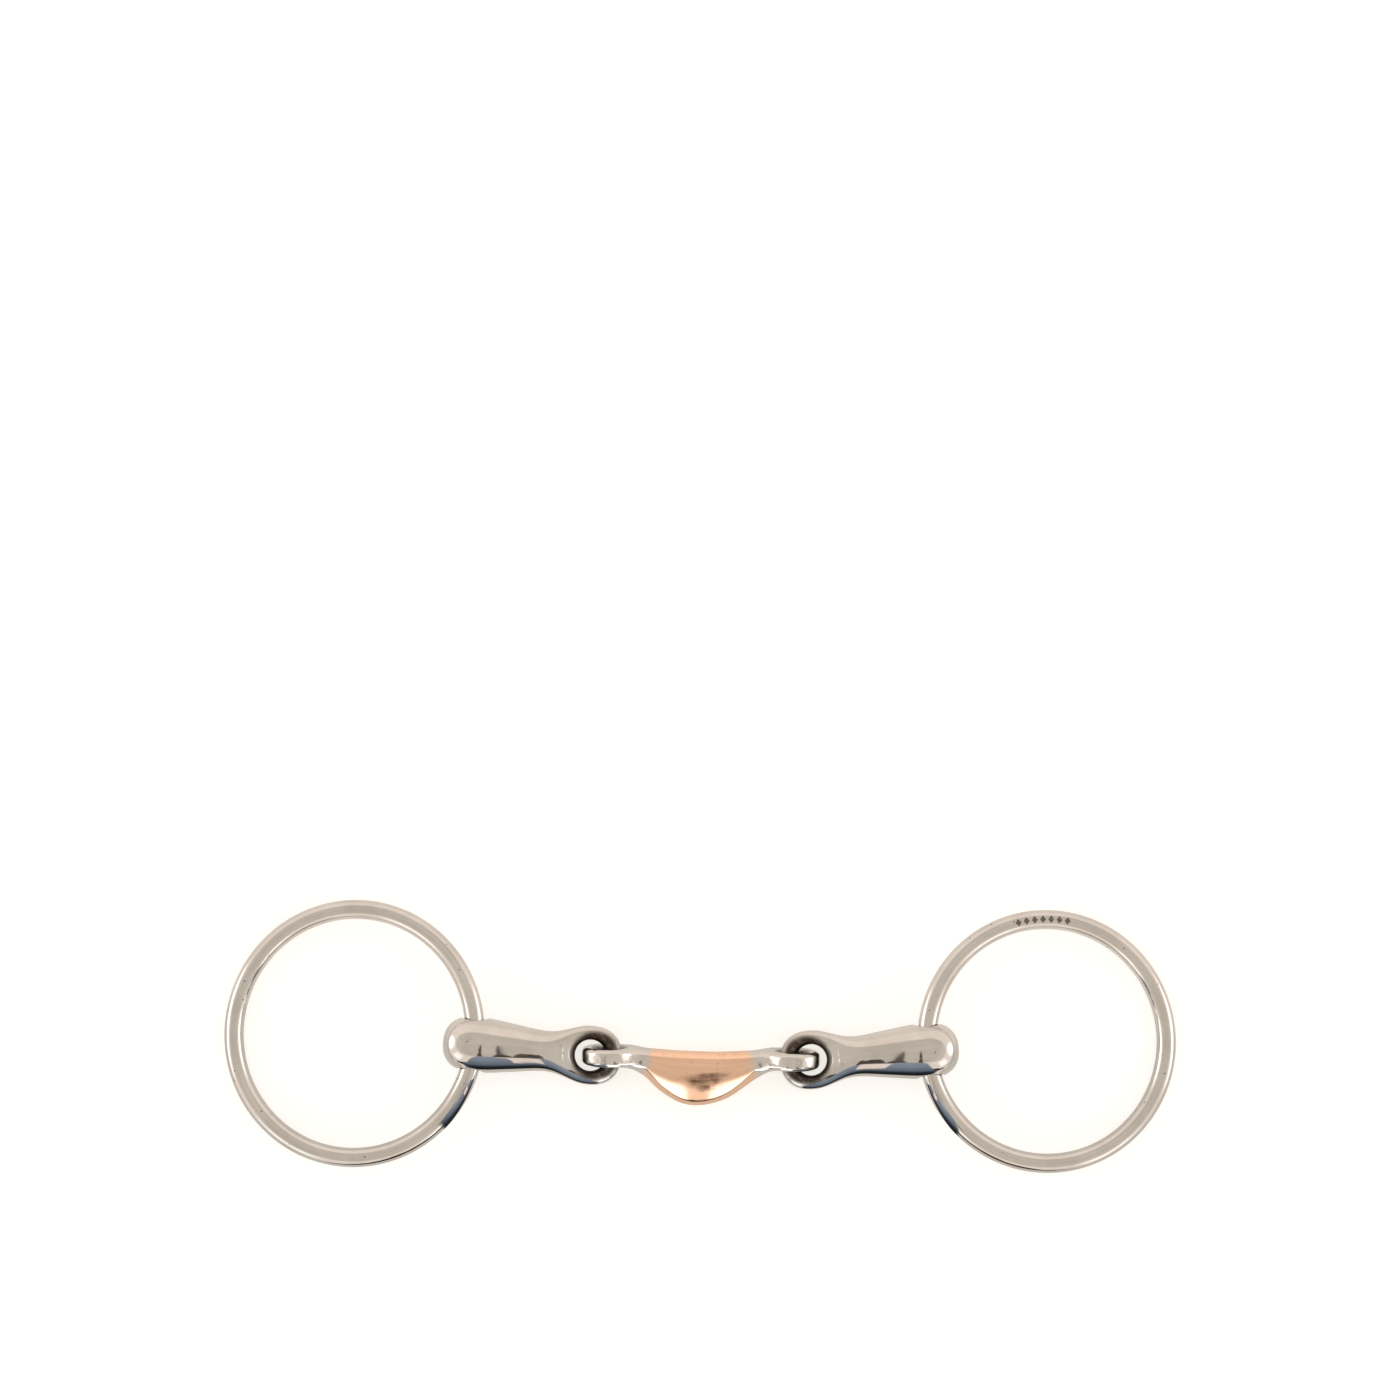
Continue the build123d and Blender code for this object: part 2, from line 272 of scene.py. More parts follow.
def polygonise(field, low, high, step):
    """The surface field = 0 as even quads: a net of one point per crossed cell, relaxed onto the field."""
    low, high = np.array(low, float), np.array(high, float)
    count = np.ceil((high - low) / step).astype(int) + 1
    axes = [low[a] + step * np.arange(count[a]) for a in range(3)]
    grid = np.stack(np.meshgrid(*axes, indexing="ij"), -1).reshape(-1, 3)
    value = np.concatenate([field(part) for part in np.array_split(grid, GRID_BATCHES)]).reshape(count)
    inside = value < 0
    corner = [(i, j, k) for i in (0, 1) for j in (0, 1) for k in (0, 1)]
    cut = [tuple(slice(c, count[a] - 1 + c) for a, c in enumerate(cr)) for cr in corner]
    corners_inside = sum(inside[c].astype(np.int8) for c in cut)
    active = (corners_inside > 0) & (corners_inside < 8)
    cells = np.argwhere(active)
    index = np.full(active.shape, -1)
    index[active] = np.arange(len(cells))
    place = np.zeros((len(cells), 3))
    hits = np.zeros(len(cells))
    for c in corner:
        for a in range(3):
            if c[a]:
                continue
            first = cells + c
            second = first + np.eye(3, dtype=int)[a]
            u, v = value[tuple(first.T)], value[tuple(second.T)]
            crossed = (u < 0) != (v < 0)
            share = np.where(crossed, u / np.where(crossed, u - v, 1), 0)
            place += np.where(crossed[:, None], first + share[:, None] * np.eye(3)[a], 0)
            hits += crossed
    points = low + step * place / hits[:, None]
    quads = []
    for a in range(3):
        b, c = (a + 1) % 3, (a + 2) % 3
        near = [slice(1, -1)] * 3
        far = [slice(1, -1)] * 3
        near[a], far[a] = slice(0, -1), slice(1, None)
        flip = inside[tuple(near)] != inside[tuple(far)]
        edge = np.argwhere(flip)
        edge[:, b] += 1
        edge[:, c] += 1
        ring = []
        for db, dc in ((0, 0), (-1, 0), (-1, -1), (0, -1)):
            cell = edge.copy()
            cell[:, b] += db
            cell[:, c] += dc
            ring.append(index[tuple(cell.T)])
        ring = np.stack(ring, 1)
        outward = inside[tuple(edge.T)]
        quads.append(np.where(outward[:, None], ring, ring[:, ::-1]))
    quads = np.concatenate(quads)
    points = project(field, points, 3)
    ends = np.concatenate([quads[:, [0, 1]], quads[:, [1, 2]], quads[:, [2, 3]], quads[:, [3, 0]]])
    for _ in range(RELAX_ROUNDS):
        total = np.zeros_like(points)
        amount = np.zeros(len(points))
        np.add.at(total, ends[:, 0], points[ends[:, 1]])
        np.add.at(amount, ends[:, 0], 1)
        target = total / np.maximum(amount, 1)[:, None]
        points = project(field, points + RELAX_SHARE * (target - points), 1)
    points = project(field, points, 4)
    return points, quads


# ------------------------------------------------------------------ making pieces
def make_piece(name, points, faces, normals, place, material, body, nodes):
    """A smooth mesh with its true surface normals, turned from its own frame into the CAD frame."""
    turn = np.array(place.to_3x3())
    mesh = bpy.data.meshes.new(name)
    spots = points * MM @ turn.T + np.array(place.translation)
    mesh.from_pydata(spots.tolist(), [], [list(f) for f in faces])
    mesh.polygons.foreach_set("use_smooth", [True] * len(mesh.polygons))
    mesh.validate()
    mesh.update()
    mesh.normals_split_custom_set((np.array(normals) @ turn.T).tolist())
    mesh.materials.append(material)
    piece = bpy.data.objects.new(name, mesh)
    bpy.context.scene.collection.objects.link(piece)
    if nodes:
        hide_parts(*nodes)
    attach(piece, body)
    return piece


def unit(v):
    return v / np.maximum(np.linalg.norm(v, axis=1, keepdims=True), 1e-12)


def corner_normals(field, points, faces, caps=None):
    """The field's normal at each corner of each face. Caps, where a seam was cut, have their flat normals."""
    n = unit(gradient(field, points))
    out = []
    for f, cap in zip(faces, caps or [None] * len(faces)):
        out += [cap] * len(f) if cap else [tuple(n[i]) for i in f]
    return out


def frame_at(origin, x_axis, y_axis):
    """A frame with this origin and X axis, and its Y axis as near to y_axis as it can be."""
    x_axis = Vector(x_axis).normalized()
    z_axis = x_axis.cross(Vector(y_axis)).normalized()
    y_axis = z_axis.cross(x_axis)
    m = Matrix((x_axis, y_axis, z_axis)).transposed().to_4x4()
    m.translation = Vector(origin)
    return m


# ------------------------------------------------------------------ node helpers
def add(tree, kind, links=None, **values):
    """A new node, with its inputs linked or set and its own settings made."""
    node = tree.nodes.new(kind)
    for key, value in values.items():
        setattr(node, key, value)
    for key, value in (links or {}).items():
        if isinstance(value, bpy.types.NodeSocket):
            tree.links.new(value, node.inputs[key])
        else:
            node.inputs[key].default_value = value
    return node


def maths(tree, operation, a, b=0.0, c=0.0, clamp=False):
    return add(tree, "ShaderNodeMath", {0: a, 1: b, 2: c}, operation=operation, use_clamp=clamp).outputs[0]


def span(tree, value, low, high, to_low=0.0, to_high=1.0, smooth=True):
    """The value's place between low and high, as a number from to_low to to_high."""
    kind = "SMOOTHSTEP" if smooth else "LINEAR"
    links = {"Value": value, "From Min": low, "From Max": high, "To Min": to_low, "To Max": to_high}
    return add(tree, "ShaderNodeMapRange", links, interpolation_type=kind).outputs["Result"]


def band(tree, value, start, full, fade, end):
    """1 from full to fade, falling softly to 0 at start and at end."""
    return maths(tree, "MULTIPLY", span(tree, value, start, full), span(tree, value, end, fade))


def distance_from(tree, a, b):
    """The square root of a squared and b squared together."""
    return maths(tree, "SQRT", maths(tree, "MULTIPLY_ADD", a, a, maths(tree, "MULTIPLY", b, b)))


def parts_of(tree, where):
    """The X, Y and Z of a vector."""
    return add(tree, "ShaderNodeSeparateXYZ", {0: where}).outputs


def mixed(tree, share, a, b):
    node = add(tree, "ShaderNodeMix", {0: share, 6: a, 7: b}, data_type="RGBA")
    return node.outputs[2]


def noise(tree, vector, scale, detail=3.0, rough=0.5):
    links = {"Vector": vector, "Scale": scale, "Detail": detail, "Roughness": rough}
    return add(tree, "ShaderNodeTexNoise", links).outputs["Fac"]


def stretched(tree, vector, scale):
    return add(tree, "ShaderNodeMapping", {"Vector": vector, "Scale": scale}).outputs[0]


def new_material(name, place):
    """A metal material, with coordinates in the piece's own frame."""
    material = bpy.data.materials.new(name)
    material.use_nodes = True
    tree = material.node_tree
    tree.nodes.clear()
    shader = add(tree, "ShaderNodeBsdfPrincipled", {"Metallic": 1.0})
    add(tree, "ShaderNodeOutputMaterial", {"Surface": shader.outputs[0]})
    at = add(tree, "ShaderNodeTexCoord").outputs["Object"]
    links = {"Vector": at, "Location": place.translation, "Rotation": place.to_euler()}
    where = add(tree, "ShaderNodeMapping", links, vector_type="TEXTURE").outputs[0]
    return material, tree, shader, where


def finish_metal(tree, shader, color, rough, height):
    """Joins a metal's colour, roughness and bump height to its shader."""
    bump = add(tree, "ShaderNodeBump", {"Height": height, "Strength": 1.0, "Distance": 1.0})
    tree.links.new(color, shader.inputs["Base Color"])
    tree.links.new(rough, shader.inputs["Roughness"])
    tree.links.new(bump.outputs[0], shader.inputs["Normal"])


STEEL = (0.735, 0.715, 0.690, 1)
STEEL_DULL = (0.60, 0.57, 0.54, 1)
# dark brown, for the pits and for the painted shade inside the holes
GRIME_AND_SHADE = (0.06, 0.042, 0.034, 1)
COPPER = (0.97, 0.65, 0.47, 1)
COPPER_DULL = (0.78, 0.46, 0.32, 1)
# brown of the painted reflection on the copper's face
COPPER_REFLECTED_DARK = (0.40, 0.20, 0.14, 1)
MARK = (0.10, 0.07, 0.055, 1)

LINE_HEIGHT = 0.0000012      # of the polishing lines, in metres
WAVE_HEIGHT = 0.00004
STEEL_PIT_DEPTH = 0.00002
LINK_PIT_DEPTH = 0.00004
DENT_DEPTH = 0.00018
ALONG_BAR = (60, 900, 900)   # stretch of the polishing lines on the bars, where they run along X
ROUND_WIRE = (900, 900, 300)


def polish(tree, where, along=ALONG_BAR):
    """Height of the fine polishing lines and of a hand-polished surface's slow waves."""
    lines = maths(tree, "MULTIPLY", noise(tree, stretched(tree, where, along), 4.0, 4.0, 0.6), LINE_HEIGHT)
    waves = maths(tree, "MULTIPLY", noise(tree, where, 140.0, 1.0, 0.4), WAVE_HEIGHT)
    return maths(tree, "ADD", lines, waves)


def pits(tree, where, scale, size):
    """Small round pits in one cell out of five or six."""
    cells = add(tree, "ShaderNodeTexVoronoi", {"Vector": where, "Scale": scale})
    tone = add(tree, "ShaderNodeSeparateColor", {0: cells.outputs["Color"]}).outputs[0]
    rare = span(tree, tone, 0.80, 0.84)
    return maths(tree, "MULTIPLY", span(tree, cells.outputs["Distance"], size, size * 0.5), rare)


def steel_material(name, place, hole_shade_mask=None, mark=None, along=ALONG_BAR):
    """Polished steel with slow clouds, smudges and pits, with painted shade in its holes where asked, and a
    burnt mark where asked.
    """
    material, tree, shader, where = new_material(name, place)
    cloud = noise(tree, where, 90.0, 4.0, 0.6)
    smudge = span(tree, noise(tree, where, 230.0, 5.0, 0.65), 0.50, 0.75)
    color = mixed(tree, span(tree, cloud, 0.35, 0.75, 0.0, 0.60), STEEL, STEEL_DULL)
    rough = maths(tree, "MULTIPLY_ADD", smudge, 0.06, 0.07)
    pit = pits(tree, where, 420.0, 0.14)
    color = mixed(tree, maths(tree, "MULTIPLY", pit, 0.8), color, GRIME_AND_SHADE)
    # where asked, the holes are darkened and roughened: painted shade
    if hole_shade_mask:
        painted_hole_shade = hole_shade_mask(tree, where)
        color = mixed(tree, painted_hole_shade, color, GRIME_AND_SHADE)
        rough = maths(tree, "MULTIPLY_ADD", painted_hole_shade, 0.35, rough)
    if mark:
        stain = mark(tree, where)
        color = mixed(tree, maths(tree, "MULTIPLY", stain, 0.85), color, MARK)
        rough = maths(tree, "MULTIPLY_ADD", stain, 0.3, rough)
    depth = maths(tree, "MULTIPLY", pit, STEEL_PIT_DEPTH)
    height = maths(tree, "SUBTRACT", polish(tree, where, along), depth)
    finish_metal(tree, shader, color, rough, height)
    return material


def eye_painted_shade(tree, where):
    """Painted shade, dark brown and broken, on the inside of a cannon's eye and in its ring bore."""
    x, y, z = parts_of(tree, where)
    eye = span(tree, maths(tree, "MULTIPLY_ADD", x, 0.22, distance_from(tree, x, y)), 0.0084, 0.0063)
    bore = distance_from(tree, maths(tree, "SUBTRACT", x, bore_at * MM), z)
    hole = span(tree, bore, 0.0044, 0.0038)
    broken = span(tree, noise(tree, where, 500.0, 4.0, 0.6), 0.25, 0.55)
    both = maths(tree, "MAXIMUM", eye, hole)
    return maths(tree, "MULTIPLY", both, maths(tree, "MULTIPLY_ADD", broken, 0.17, 0.82))


DIAMOND_PITCH = 2.6
DIAMOND_SHIFT = -1.6         # puts the row's middle 1.6 mm along the wire from the ring's Y axis
DIAMOND_REACH = 8.9          # half length of the row
DIAMOND_HALF = 0.9
DIAMOND_PHASE = 50.5         # puts one diamond in the row's middle, and keeps the count of pitches positive


def diamond_row(tree, where):
    """A plain row of small diamonds burnt into the top of the wire."""
    x, y, z = parts_of(tree, where)
    angle = maths(tree, "ARCTAN2", x, y)
    arc = maths(tree, "MULTIPLY_ADD", angle, RING_RADIUS, DIAMOND_SHIFT)
    middle = RING_RADIUS * RING_SHAPE["right"][1]
    off = maths(tree, "MULTIPLY_ADD", distance_from(tree, x, y), 1 / MM, -middle)
    across = maths(tree, "MULTIPLY", maths(tree, "ABSOLUTE", off), 0.8)
    cell = maths(tree, "FRACT", maths(tree, "MULTIPLY_ADD", arc, 1 / DIAMOND_PITCH, DIAMOND_PHASE))
    cell = maths(tree, "ABSOLUTE", maths(tree, "SUBTRACT", cell, 0.5))
    shape = maths(tree, "MULTIPLY_ADD", cell, DIAMOND_PITCH, across)
    inside = span(tree, shape, DIAMOND_HALF + 0.15, DIAMOND_HALF)
    reach = span(tree, maths(tree, "ABSOLUTE", arc), DIAMOND_REACH + 0.2, DIAMOND_REACH)
    top = span(tree, z, 0.0, 0.0003)
    ragged = span(tree, noise(tree, where, 1500.0, 3.0, 0.6), 0.25, 0.45, 0.6, 1.0)
    row = maths(tree, "MULTIPLY", inside, reach)
    return maths(tree, "MULTIPLY", row, maths(tree, "MULTIPLY", top, ragged))


PATCH_AT = (0.0018, -0.0072)         # middle and half size of the brown patch on the copper, a painted reflection, in metres
PATCH_SIZE = (0.0062, 0.0034)


def painted_dark_reflection(tree, where):
    """A broken brown patch on the top of the copper: a painted reflection of the dark shapes in front of it.
    """
    x, y, z = parts_of(tree, where)
    off_x = maths(tree, "DIVIDE", maths(tree, "SUBTRACT", x, PATCH_AT[0]), PATCH_SIZE[0])
    off_y = maths(tree, "DIVIDE", maths(tree, "SUBTRACT", y, PATCH_AT[1]), PATCH_SIZE[1])
    away = maths(tree, "MULTIPLY_ADD", off_x, off_x, maths(tree, "MULTIPLY", off_y, off_y))
    blotch = span(tree, noise(tree, where, 620.0, 6.0, 0.7), 0.42, 0.60)
    strength = maths(tree, "MULTIPLY_ADD", blotch, 0.55, 0.2)
    patch = maths(tree, "MULTIPLY", span(tree, away, 1.0, 0.1), strength)
    return maths(tree, "MULTIPLY", patch, span(tree, z, 0.0, 0.001))


def link_material(name, place):
    """Steel that fades into copper between the two slanted seams."""
    material, tree, shader, where = new_material(name, place)
    x, y, z = parts_of(tree, where)
    lean = math.tan(math.radians(COPPER_SLANT))
    depth = maths(tree, "SUBTRACT", COPPER_TOP * MM, y)
    edge = maths(tree, "MULTIPLY_ADD", depth, lean, COPPER_HALF_TOP * MM)
    wander = maths(tree, "MULTIPLY_ADD", noise(tree, where, 260.0, 5.0, 0.65), 0.006, -0.003)
    inside = maths(tree, "ADD", maths(tree, "SUBTRACT", edge, maths(tree, "ABSOLUTE", x)), wander)
    copper = span(tree, inside, -0.0018, 0.0018)
    cloud = noise(tree, where, 150.0, 4.0, 0.6)
    tarnish = span(tree, noise(tree, where, 330.0, 5.0, 0.65), 0.52, 0.72)
    steel = mixed(tree, span(tree, cloud, 0.35, 0.8, 0.0, 0.4), STEEL, STEEL_DULL)
    red = mixed(tree, maths(tree, "MULTIPLY", tarnish, 0.45), COPPER, COPPER_DULL)
    # a painted reflection, brown, on the copper's face
    red = mixed(tree, painted_dark_reflection(tree, where), red, COPPER_REFLECTED_DARK)
    color = mixed(tree, copper, steel, red)
    seam = band(tree, inside, -0.0010, 0.0002, 0.0006, 0.0018)
    pit = maths(tree, "MULTIPLY", pits(tree, where, 900.0, 0.22), seam)
    pit = maths(tree, "MAXIMUM", pit, maths(tree, "MULTIPLY", pits(tree, where, 380.0, 0.10), 0.7))
    color = mixed(tree, maths(tree, "MULTIPLY", pit, 0.85), color, GRIME_AND_SHADE)
    # painted shade round each loop's hole, where a cannon's eye sits: darker and rougher there
    radius = distance_from(tree, maths(tree, "SUBTRACT", maths(tree, "ABSOLUTE", x), LOOP_AT * MM), z)
    painted_hole_shade = maths(tree, "MULTIPLY", span(tree, radius, 0.0060, 0.0047), 0.7)
    color = mixed(tree, painted_hole_shade, color, GRIME_AND_SHADE)
    smudge = span(tree, noise(tree, where, 260.0, 5.0, 0.65), 0.45, 0.75)
    rough = maths(tree, "MULTIPLY_ADD", smudge, 0.10, 0.12)
    rough = maths(tree, "MULTIPLY_ADD", painted_hole_shade, 0.3, rough)
    height = maths(tree, "SUBTRACT", polish(tree, where), maths(tree, "MULTIPLY", pit, LINK_PIT_DEPTH))
    dents = span(tree, noise(tree, where, 300.0, 1.0, 0.35), 0.25, 0.75, smooth=False)
    outer = span(tree, maths(tree, "ABSOLUTE", x), 0.017, 0.021, 0.0, DENT_DEPTH)
    height = maths(tree, "MULTIPLY_ADD", dents, outer, height)
    finish_metal(tree, shader, color, rough, height)
    return material


# ------------------------------------------------------------------ cannons
cannon_low = (-EYE_REACH - GRID_MARGIN, -CANNON_GRID_SIDE, -CANNON_GRID_SIDE)
cannon_high = (END_AT + END_LENGTH + GRID_MARGIN, CANNON_GRID_SIDE, CANNON_GRID_SIDE)
cannon_points, cannon_quads = polygonise(cannon_field, cannon_low, cannon_high, VOXEL)
cannon_normals = corner_normals(cannon_field, cannon_points, cannon_quads)
for side in ("left", "right"):
    outward = (swing[side] - fold[side]).normalized()
    across = Vector((0, 0, 1)).cross(outward)
    place = frame_at(fold[side], outward, across)
    # with painted shade inside the eye and the ring bore
    steel = steel_material(f"polished_steel_cannon_{side}", place, hole_shade_mask=eye_painted_shade)
    make_piece(f"cannon_{side}_cast", cannon_points, cannon_quads, cannon_normals, place, steel,
               f"cannon_{side}", [f"cannon_{side}"])


# ------------------------------------------------------------------ centre link
def split_link():
    """The link's mesh cut by the two slanted seams into the steel ends and the copper, all closed."""
    reach = LOOP_AT + LOOP_RADIUS + GRID_MARGIN
    side = LOOP_RADIUS + GRID_MARGIN
    low, high = (-reach, LINK_GRID_Y[0], -side), (reach, LINK_GRID_Y[1], side)
    points, quads = polygonise(link_field, low, high, VOXEL)
    slant = math.radians(COPPER_SLANT)
    seam = {}
    for side in (-1, 1):
        seam[side] = (Vector((side * COPPER_HALF_TOP, COPPER_TOP, 0)),
                      Vector((side * math.cos(slant), math.sin(slant), 0)))
    results = {}
    # which seams cut a piece, and whether the piece lies outside them
    cuts = {"steel_left": [(-1, True)], "steel_right": [(1, True)], "copper": [(-1, False), (1, False)]}
    for name, keep in cuts.items():
        bm = bmesh.new()
        verts = [bm.verts.new(p) for p in points]
        for q in quads:
            bm.faces.new([verts[i] for i in q])
        for side, outer in keep:
            spot, normal = seam[side]
            bmesh.ops.bisect_plane(bm, geom=bm.verts[:] + bm.edges[:] + bm.faces[:], dist=1e-5, plane_co=spot,
                                   plane_no=normal, clear_inner=outer, clear_outer=not outer)
            rim = [e for e in bm.edges if e.is_boundary]
            cap = bmesh.ops.contextual_create(bm, geom=rim)["faces"]
            for f in cap:
                f.material_index = 1
        bmesh.ops.recalc_face_normals(bm, faces=bm.faces[:])
        bm.verts.index_update()
        spots = np.array([v.co[:] for v in bm.verts])
        faces = [[v.index for v in f.verts] for f in bm.faces]
        flat = [tuple(f.normal) if f.material_index else None for f in bm.faces]
        results[name] = (spots, faces, flat)
        bm.free()
    return results


WEB_CENTRE = np.array([0, (WEB_TOP + WEB_BOTTOM) / 2, 0])
WEB_HALVES = np.array([WEB_HALF_LONG, (WEB_TOP - WEB_BOTTOM) / 2, WEB_HALF_THICK])


def web_mesh():
    """The flat steel web inside the copper: a rounded bar, its faces and their corner normals."""
    points, faces = [], []
    for k in range(1, WEB_ALONG):
        turn = math.pi * k / WEB_ALONG
        shrink = math.sin(turn) ** WEB_END
        for j in range(WEB_AROUND):
            a = 2 * math.pi * j / WEB_AROUND
            c, s = math.cos(a), math.sin(a)
            across = shrink * math.copysign(abs(c) ** WEB_CORNER, c)
            up = shrink * math.copysign(abs(s) ** WEB_CORNER, s)
            points.append(WEB_CENTRE + WEB_HALVES * (-math.cos(turn), across, up))
    for k in range(WEB_ALONG - 2):
        for j in range(WEB_AROUND):
            a, b = k * WEB_AROUND + j, k * WEB_AROUND + (j + 1) % WEB_AROUND
            faces.append([a, b, b + WEB_AROUND, a + WEB_AROUND])
    last = (WEB_ALONG - 2) * WEB_AROUND
    faces.append(list(reversed(range(WEB_AROUND))))
    faces.append([last + j for j in range(WEB_AROUND)])
    points = np.array(points)
    out = unit((points - WEB_CENTRE) / WEB_HALVES)
    return points, faces, [tuple(out[i]) for f in faces for i in f]


middle = (fold["left"] + fold["right"]) / 2
droop = math.radians(LINK_DROOP)
along = (fold["right"] - fold["left"]).normalized()
link_place = frame_at(middle, along, Vector((0, math.cos(droop), math.sin(droop))))
link_parts = split_link()
link_steel = link_material("polished_steel_link", link_place)
link_copper = link_material("polished_copper_link", link_place)

left_points, left_faces, left_caps = link_parts["steel_left"]
right_points, right_faces, right_caps = link_parts["steel_right"]
web_points, web_faces, web_normals = web_mesh()
end_points = np.concatenate([left_points, right_points])
end_faces = left_faces + [[i + len(left_points) for i in f] for f in right_faces]
end_normals = corner_normals(link_field, end_points, end_faces, left_caps + right_caps)
make_piece("centre_link_steel_cast", np.concatenate([end_points, web_points]),
           end_faces + [[i + len(end_points) for i in f] for f in web_faces], end_normals + web_normals,
           link_place, link_steel, "centre_link", ["centre_link_steel"])
copper_points, copper_faces, copper_caps = link_parts["copper"]
copper_normals = corner_normals(link_field, copper_points, copper_faces, copper_caps)
make_piece("centre_link_copper_cast", copper_points, copper_faces, copper_normals, link_place,
           link_copper, "centre_link", ["centre_link_copper"])


# ------------------------------------------------------------------ rings
def ring_mesh(along_share, across_share):
    """A slightly oval ring of round wire in the XY plane, its faces and their corner normals."""
    points, normals, faces = [], [], []
    for i in range(RING_STEPS):
        a = 2 * math.pi * i / RING_STEPS
        ca, sa = math.cos(a), math.sin(a)
        centre = np.array([RING_RADIUS * along_share * ca, RING_RADIUS * across_share * sa, 0])
        out = np.array([ca / along_share, sa / across_share, 0])
        out /= np.linalg.norm(out)
        for j in range(WIRE_STEPS):
            b = 2 * math.pi * j / WIRE_STEPS
            n = out * math.cos(b) + np.array([0, 0, 1]) * math.sin(b)
            points.append(centre + WIRE_RADIUS * n)
            normals.append(n)
    for i in range(RING_STEPS):
        first, second = i * WIRE_STEPS, (i + 1) % RING_STEPS * WIRE_STEPS
        for j in range(WIRE_STEPS):
            k = (j + 1) % WIRE_STEPS
            faces.append([first + j, second + j, second + k, first + k])
    return np.array(points), faces, [tuple(normals[i]) for f in faces for i in f]


# each ring leans from its bore down to the surface that the bit lies on
tilt = math.asin((fold["left"].z / MM - WIRE_RADIUS) / (2 * RING_RADIUS - SWING_REACH))
for side in ("left", "right"):
    outward = (swing[side] - fold[side]).normalized()
    across = Vector((0, 0, 1)).cross(outward)
    down = outward * math.cos(tilt) - Vector((0, 0, 1)) * math.sin(tilt)
    reach = RING_RADIUS * RING_SHAPE[side][0] - SWING_REACH
    ring_points, ring_faces, ring_normals = ring_mesh(*RING_SHAPE[side])
    place = frame_at(swing[side] + down * reach * MM, down, across)
    mark = diamond_row if side == "right" else None
    steel = steel_material(f"polished_steel_ring_{side}", place, mark=mark, along=ROUND_WIRE)
    make_piece(f"ring_{side}_wire", ring_points, ring_faces, ring_normals, place, steel,
               f"ring_{side}", [f"ring_{side}"])


# ------------------------------------------------------------------ studio
FLOOR_HALF = 4
FLOOR_NEAR = (0.70, 0.655, 0.59, 1)      # the floor's tones in reflections, in front of the bit and behind it
FLOOR_FAR = (0.90, 0.81, 0.72, 1)
FLOOR_CHANGE = (-0.004, 0.018)           # between these two Y the one tone turns into the other

floor_mesh = bpy.data.meshes.new("floor")
floor_corners = [(-FLOOR_HALF, -FLOOR_HALF, 0), (FLOOR_HALF, -FLOOR_HALF, 0),
                 (FLOOR_HALF, FLOOR_HALF, 0), (-FLOOR_HALF, FLOOR_HALF, 0)]
floor_mesh.from_pydata(floor_corners, [], [[0, 1, 2, 3]])
floor_material = bpy.data.materials.new("pale_floor")
floor_material.use_nodes = True
floor_tree = floor_material.node_tree
floor_tree.nodes.clear()
floor_shader = add(floor_tree, "ShaderNodeBsdfPrincipled", {
    "Base Color": (0.80, 0.80, 0.80, 1), "Roughness": 0.9, "Specular IOR Level": 0.1,
    "Emission Color": (1.0, 0.99, 0.98, 1), "Emission Strength": 0.50})
floor_y = parts_of(floor_tree, add(floor_tree, "ShaderNodeTexCoord").outputs["Object"])[1]
floor_tone = mixed(floor_tree, span(floor_tree, floor_y, *FLOOR_CHANGE), FLOOR_NEAR, FLOOR_FAR)
in_metal = add(floor_tree, "ShaderNodeEmission", {"Color": floor_tone, "Strength": 1.0})
by_gloss = add(floor_tree, "ShaderNodeLightPath").outputs["Is Glossy Ray"]
floor_sides = {0: by_gloss, 1: floor_shader.outputs[0], 2: in_metal.outputs[0]}
floor_mix = add(floor_tree, "ShaderNodeMixShader", floor_sides)
add(floor_tree, "ShaderNodeOutputMaterial", {"Surface": floor_mix.outputs[0]})
floor_mesh.materials.append(floor_material)
floor = bpy.data.objects.new("floor", floor_mesh)
bpy.context.scene.collection.objects.link(floor)

# two dark cards, a low dark skirt and two pale cards stand in front of the bit, seen only in reflections
CARD_Y = -0.030
CARD_MIDDLE = 0.054
CARD_HALF = 0.026
CARD_TOP = 0.041
CARD_COLORS = [(0.0, (0.012, 0.013, 0.016)), (0.24, (0.022, 0.026, 0.034)), (0.36, (0.150, 0.185, 0.240)),
               (0.62, (0.270, 0.320, 0.400)), (1.0, (0.35, 0.37, 0.40))]
SKIRT_Y = -0.100
SKIRT_HALF = 0.140
SKIRT_TOP = 0.032
SKIRT_COLORS = [(0.0, (0.030, 0.026, 0.024)), (1.0, (0.060, 0.052, 0.046))]
CARD_NOTCH = 0.0515          # a pale notch in each card's upper edge
CARD_NOTCH_HALF = 0.0036
PALE_MIDDLE = 0.0165         # the pale cards stand in front of the lozenge
PALE_Y = -0.040
PALE_HALF = 0.013
PALE_TOP = 0.042
PALE_FOOT = (0.009, 0.014)   # they fade out below this height
PALE_LIGHT = (2.1, 2.1, 2.15, 1)


